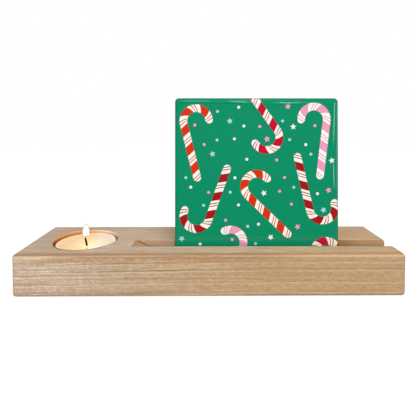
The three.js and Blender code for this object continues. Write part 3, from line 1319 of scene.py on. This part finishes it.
def wick_foot(candle):
    """Where the wick leaves the wax."""
    low, high = wick_ends(candle)
    level = WAX_HIGH.z - candle.dish_depth
    return low.lerp(high, (level - low.z) / (high.z - low.z))


def cup_inside(candle, middle):
    """Radius of the inside of the cup's wall."""
    return middle.x - CUP_LOW.x - candle.bead_radius - candle.cup_wall


def wax_level(candle, middle, vert, sink):
    """Height of a wax surface: it climbs at the wall and the wick, and may sink in the middle."""
    radius = cup_inside(candle, middle) - WAX_GAP
    from_axis = (vert.co - middle).xy.length
    from_wick = (vert.co - wick_foot(candle)).xy.length
    rise = MENISCUS * math.exp(-(radius - from_axis) / MENISCUS_REACH)
    rise += MENISCUS * math.exp(-((from_wick / WICK_MENISCUS_REACH) ** 2))
    return WAX_HIGH.z + rise - sink * (1 + math.cos(math.pi * from_axis / radius)) / 2


def wax_shape(candle, middle):
    """Solid wax below the melted pool: its surface is a shallow dish."""
    radius, foot = cup_inside(candle, middle) - WAX_GAP, candle.foot_radius
    bend = arc((radius - foot, WAX_LOW.z + foot), foot, -90, 0, CUP_ARC_STEPS)
    profile = [(0, WAX_LOW.z), *bend]
    shares = [(k / WAX_RINGS) ** WAX_CROWDING for k in range(WAX_RINGS + 1)]
    profile += [(radius * (1 - share), WAX_HIGH.z) for share in shares]
    shape = turned_shape(profile, CUP_STEPS, middle)
    for vert in shape.verts:
        if vert.co.z > WAX_HIGH.z - SURFACE:
            vert.co.z = wax_level(candle, middle, vert, candle.dish_depth)
    return shape


def pool_shape(candle, middle):
    """Clear melted wax that fills the dish up to a level surface."""
    radius = cup_inside(candle, middle) - WAX_GAP - POOL_INSET
    outward = [radius * (k / WAX_RINGS) ** POOL_CROWDING for k in range(WAX_RINGS + 1)]
    profile = [(reach, WAX_LOW.z) for reach in outward]
    profile += [(reach, WAX_HIGH.z) for reach in reversed(outward)]
    shape = turned_shape(profile, CUP_STEPS, middle)
    for vert in shape.verts:
        if vert.co.z > WAX_HIGH.z - SURFACE:
            vert.co.z = wax_level(candle, middle, vert, POOL_SINK)
        else:
            vert.co.z = wax_level(candle, middle, vert, candle.dish_depth) + POOL_GAP
    return shape


def wax_material(candle, middle):
    """Melted wax with a painted glow of the flame's light: yellow round the wick, peach and cream
    towards the wall.
    """
    graph = Graph("melted wax")
    place = graph.place()
    x, y, _ = place
    off_x, off_y = x - middle.x / MM, y - middle.y / MM
    radius = cup_inside(candle, middle) / MM
    from_axis = (off_x * off_x + off_y * off_y).root()
    near = ((off_x - 3) * (off_x - 3) + off_y * off_y).root().ramp(17, 3)
    swirl = graph.cloud((x, y, 1), (5, 3.5, 1))
    left = graph.mix(near * 0.9, candle.wax_left, candle.wax_near)
    right = graph.mix(near * 0.9, candle.wax_right, candle.wax_clear)
    wax = graph.mix((off_x + swirl * 4 - 2).ramp(-3, 9), left, right)
    # Painted shade in front of the wick: a darker colour, and a lower base colour against the flame's
    # light
    front = off_y.ramp(-1.5, -6.5) * (off_x - 1).away().ramp(8, 3)
    wax = graph.mix(front * 0.85, wax, candle.wax_front_shaded)
    # Painted shade on the wax against the cup's wall, lighter where the flame's light is caught
    shaded = 0.7 - lit_side(place, middle) * 0.55
    wax = graph.mix(from_axis.ramp(radius - 0.5, radius - 0.1) * shaded, wax, candle.wax_rim_shade)
    wax = graph.shade(wax, 0.97 + swirl * 0.06)
    return graph.finish(
        Base_Color=graph.shade(wax, 0.26 - front * 0.13),
        Roughness=0.18 + swirl * 0.1,
        Specular_IOR_Level=0.3,
        # Painted glow: the wax gives light as if the flame shone through it
        Emission_Color=wax,
        Emission_Strength=0.84,
        Normal=graph.relief(swirl, 0.05, 0.5),
    )


def pool_material(candle):
    """Clear, thin and glossy, with a faint drift of haze."""
    graph = Graph("clear melted wax")
    x, y, _ = graph.place()
    haze = graph.cloud((x, y, 3), (6, 4, 1))
    return graph.finish(
        Base_Color=graph.shade(candle.wax_near, 0.04 + haze * 0.06),
        Roughness=0.04 + haze * 0.04,
        Alpha=0.03 + haze * 0.06,
    )


class HOLDER_OT_add_wax(bpy.types.Operator):
    """Fill the cup with wax: a solid dish with a clear pool on it"""
    bl_idname = "holder.add_wax"
    bl_label = "Wax"

    def execute(self, context):
        candle, middle = context.scene.holder_candle, candle_middle(context)
        mesh = finished_mesh(
            "candle_wax", wax_shape(candle, middle), [wax_material(candle, middle)], crease=60,
        )
        add_piece("solid_wax", mesh, "candle_wax", "wax")
        pool = finished_mesh("clear_wax", pool_shape(candle, middle), [pool_material(candle)])
        add_piece("clear_wax", pool, "candle_wax").visible_shadow = False
        return {"FINISHED"}


def wick_shape(candle):
    """Burnt, plaited wick that bends over a little towards its tip."""
    start, end = wick_ends(candle)
    length = (end - start).length
    shape = bmesh.new()
    rings = []
    for k in range(WICK_RINGS + 1):
        share = k / WICK_RINGS
        middle = start.lerp(end, share) + WICK_BOW * math.sin(math.pi * share)
        girth = candle.wick_radius * (1 - WICK_TAPER * share ** 4)
        ring = []
        for j in range(WICK_SIDES):
            angle = math.tau * j / WICK_SIDES
            strand = math.cos(STRANDS * angle - math.tau * share * length / WICK_TWIST)
            radius = girth * (1 - STRAND_DEPTH + STRAND_DEPTH * strand)
            ring.append(middle + heading(angle).to_3d() * radius)
        rings.append(ring)
    foot, *_, last = loft(shape, rings)
    shape.faces.new(foot)
    tip = shape.verts.new(end + WICK_TIP)
    for first, second in zip(last, last[1:] + last[:1]):
        shape.faces.new((first, second, tip))
    return shape


def wick_material(candle):
    """Charred cotton, browner towards the tip."""
    graph = Graph("charred cotton")
    place = graph.place()
    ash = graph.cloud(place, (0.3, 0.3, 0.4), detail=3, rough=0.6)
    tip = place[2].ramp(WICK_HIGH.z / MM - 2.6, WICK_HIGH.z / MM)
    return graph.finish(
        Base_Color=graph.mix(ash.ramp(0.45, 0.75) * 0.3 + tip * 0.6, candle.char, candle.ember),
        Roughness=0.8 + ash * 0.15,
        Specular_IOR_Level=0.03,
        Normal=graph.relief(ash, 0.08, 0.8),
    )


class HOLDER_OT_add_wick(bpy.types.Operator):
    """Make the burnt wick"""
    bl_idname = "holder.add_wick"
    bl_label = "Wick"

    def execute(self, context):
        candle = context.scene.holder_candle
        mesh = finished_mesh("burnt_wick", wick_shape(candle), [wick_material(candle)])
        add_piece("burnt_wick", mesh, "candle_wick", "wick")
        return {"FINISHED"}


def flame_foot(candle):
    """Lowest point of the bright flame, a little above the wick's tip and in from its lean."""
    _, tip = wick_ends(candle)
    return tip + Vector((FLAME_SHIFT, 0, candle.flame_lift))


def flame_girth(share):
    """Share of the flame's full radius at a share of its height: round at both ends."""
    taper = (1 - share ** FLAME_FULLNESS) ** FLAME_BLUNTNESS
    if share >= FLAME_ROUND:
        return taper
    return taper * math.sqrt(1 - (1 - share / FLAME_ROUND) ** 2)


def flame_shape(foot, height, radius, open_to=0.0):
    """Body of light, widest near its base. It is open below where open_to is above 0."""
    profile = []
    for k in range(FLAME_STEPS + 1):
        share = (k / FLAME_STEPS) ** FLAME_CROWDING
        profile.append((radius * flame_girth(max(share, open_to)), foot.z + height * share))
    return turned_shape(profile, FLAME_SIDES, Vector((foot.x, foot.y, 0)))


def glow_graph(name, strength, candle, foot):
    """Start of a material that only gives light, and the share of the flame's height."""
    graph = Graph(name)
    graph.finish(
        Base_Color=(0.0, 0.0, 0.0), Specular_IOR_Level=0.0, Roughness=1.0,
        Emission_Strength=strength,
    )
    height = graph.place()[2]
    return graph, (height - foot.z / MM) / (candle.flame_height / MM)


def body_material(candle, foot):
    """Yellow at the base, then nearly white."""
    graph, rise = glow_graph("flame body", 1.6, candle, foot)
    return graph.finish(
        Emission_Color=graph.mix(rise.ramp(0.07, 0.25), candle.flame_base, candle.flame_body),
    )


def mantle_material(candle, foot):
    """Faint orange halo, thinner at its foot than at its tip."""
    graph, rise = glow_graph("flame mantle", 1.0, candle, foot)
    return graph.finish(
        Emission_Color=graph.mix(rise.ramp(0.2, 0.9), candle.flame_rim, candle.flame_veil),
        Alpha=rise.ramp(-0.05, 0.2) * MANTLE_ALPHA + rise.ramp(0.7, 1.0) * MANTLE_TIP,
    )


class HOLDER_OT_add_flame(bpy.types.Operator):
    """Light the wick: bright flame and thin mantle"""
    bl_idname = "holder.add_flame"
    bl_label = "Flame"

    def execute(self, context):
        candle = context.scene.holder_candle
        foot = flame_foot(candle)
        height, radius = candle.flame_height, candle.flame_radius
        body = finished_mesh(
            "flame", flame_shape(foot, height, radius), [body_material(candle, foot)],
        )
        mantle = finished_mesh(
            "flame_mantle",
            flame_shape(foot, height + MANTLE_RISE, radius + MANTLE_SPREAD, MANTLE_FOOT),
            [mantle_material(candle, foot)],
        )
        for mesh in (body, mantle):
            piece = add_piece(mesh.name, mesh, "candle_wick")
            piece.visible_shadow = False
            piece.visible_diffuse = False
        return {"FINISHED"}


# ---- Studio ----

FLOOR_REACH = 5.0
FLOOR_DROP = 0.1 * MM
FLAME_LIGHT_RADIUS = 2.5 * MM
# Camera's sensor in millimetres, and the stretch of space that it sees in metres
SENSOR_WIDTH = 36
NEAREST, FARTHEST = 0.005, 50
# Point that the softboxes and panels face
AIM = Vector((0, 0, 0.04))
# Softboxes: name, place, width and height in metres
SOFTBOXES = [
    ("key", (0.15, -0.75, 1.30), 0.9, 0.9),
    ("fill", (0.0, -1.2, 0.35), 0.9, 0.7),
]
# Panels that show only in glossy surfaces: place, width and height in metres
PANELS = [
    ((-0.055, -0.95, 0.515), 0.09, 0.09),
    ((0.137, -0.95, 0.515), 0.115, 0.09),
    ((0.268, -0.95, 0.515), 0.075, 0.09),
    ((0.484, -0.581, 0.09), 0.052, 0.22),
]


def add_floor(stage):
    """Plain floor under the part, white to the eye, with soft shadows."""
    shape = bmesh.new()
    bmesh.ops.create_grid(shape, x_segments=2, y_segments=2, size=FLOOR_REACH)
    bmesh.ops.translate(shape, vec=(0, 0, -FLOOR_DROP), verts=shape.verts[:])
    paint = Graph("floor").finish(
        Base_Color=stage.floor, Roughness=0.9, Specular_IOR_Level=0.1,
        Emission_Color=(1.0, 1.0, 1.0), Emission_Strength=stage.floor_glow,
    )
    floor = add_object("floor", finished_mesh("floor", shape, [paint]))
    floor.visible_glossy = False
    floor.visible_diffuse = False


def add_softbox(name, place, width, height, power):
    """Area light that faces the part."""
    lamp = bpy.data.lights.new(name, "AREA")
    lamp.shape = "RECTANGLE"
    lamp.size, lamp.size_y = width, height
    lamp.energy = power
    softbox = add_object(name, lamp)
    softbox.location = place
    softbox.rotation_euler = (AIM - Vector(place)).to_track_quat("-Z", "Y").to_euler()
    softbox.visible_camera = False
    return softbox


def add_flame_light(stage, candle):
    """Small warm light where the flame is."""
    lamp = bpy.data.lights.new("flame light", "POINT")
    lamp.energy = stage.flame_power
    lamp.color = stage.flame_light
    lamp.shadow_soft_size = FLAME_LIGHT_RADIUS
    light = add_object("flame light", lamp)
    foot = flame_foot(candle)
    light.location = (foot.x, foot.y, BLOCK_HIGH.z - stage.flame_sink)
    light.visible_glossy = False
    light.visible_camera = False


def add_sky(stage):
    """White to the eye, softer as a light, and dark in glossy surfaces, as in a shaded studio."""
    graph = Graph("studio", world=True)

    def glow(strength):
        return graph.add("ShaderNodeBackground", inputs={"Color": (1, 1, 1), "Strength": strength})

    sky = glow(stage.sky_light)
    for kind, strength in (("Is Glossy Ray", stage.sky_gloss), ("Is Camera Ray", 1.0)):
        seen = graph.add("ShaderNodeLightPath", output=kind)
        sky = graph.add("ShaderNodeMixShader", inputs={0: seen, 1: sky, 2: glow(strength)})
    graph.feed(graph.tree.nodes["World Output"].inputs["Surface"], sky)
    bpy.context.scene.world = graph.owner


def add_camera(stage):
    """Camera nearly as high as the tile's top, which looks almost level."""
    lens = bpy.data.cameras.new("camera")
    lens.sensor_width = SENSOR_WIDTH
    lens.lens = stage.lens
    lens.shift_x, lens.shift_y = -stage.frame_left, -stage.frame_down
    lens.clip_start, lens.clip_end = NEAREST, FARTHEST
    camera = add_object("camera", lens)
    camera.location = (stage.eye_right, -stage.eye_front, stage.eye_height)
    camera.rotation_euler = (math.pi / 2 - stage.look_down, 0, -stage.look_right)
    bpy.context.scene.camera = camera


class HOLDER_OT_set_stage(bpy.types.Operator):
    """Set up the floor, the lights and the camera"""
    bl_idname = "holder.set_stage"
    bl_label = "Studio"

    def execute(self, context):
        stage = context.scene.holder_stage
        context.scene.view_settings.view_transform = "Standard"
        add_camera(stage)
        add_floor(stage)
        add_sky(stage)
        powers = {"key": stage.key_power, "fill": stage.fill_power}
        for name, place, width, height in SOFTBOXES:
            add_softbox(name, place, width, height, powers[name]).visible_glossy = False
        for place, width, height in PANELS:
            power = stage.panel_glow * width * height * math.pi
            add_softbox("panel", place, width, height, power).visible_diffuse = False
        add_flame_light(stage, context.scene.holder_candle)
        return {"FINISHED"}


# ---- Add-on ----

STEPS = [
    HOLDER_OT_set_stage,
    HOLDER_OT_add_block,
    HOLDER_OT_add_tile,
    HOLDER_OT_add_canes,
    HOLDER_OT_add_spots,
    HOLDER_OT_add_cup,
    HOLDER_OT_add_wax,
    HOLDER_OT_add_wick,
    HOLDER_OT_add_flame,
]


class HOLDER_PT_panel(bpy.types.Panel):
    """Steps and settings of the tealight and tile holder"""
    bl_idname = "HOLDER_PT_panel"
    bl_label = "Tealight and Tile Holder"
    bl_space_type = "VIEW_3D"
    bl_region_type = "UI"
    bl_category = "Holder"

    def draw(self, context):
        for step in STEPS:
            self.layout.operator(step.bl_idname)
        for name, group in SETTINGS.items():
            box = self.layout.box()
            for key in group.__annotations__:
                box.prop(getattr(context.scene, name), key)


def register():
    for kind in (*SETTINGS.values(), *STEPS, HOLDER_PT_panel):
        bpy.utils.register_class(kind)
    for name, group in SETTINGS.items():
        setattr(bpy.types.Scene, name, PointerProperty(type=group))


def unregister():
    for name in SETTINGS:
        delattr(bpy.types.Scene, name)
    for kind in reversed((*SETTINGS.values(), *STEPS, HOLDER_PT_panel)):
        bpy.utils.unregister_class(kind)


def main():
    register()
    bpy.ops.holder.set_stage()
    bpy.ops.holder.add_block()
    bpy.ops.holder.add_tile()
    bpy.ops.holder.add_canes()
    bpy.ops.holder.add_spots()
    bpy.ops.holder.add_cup()
    bpy.ops.holder.add_wax()
    bpy.ops.holder.add_wick()
    bpy.ops.holder.add_flame()


if __name__ == "__main__":
    main()
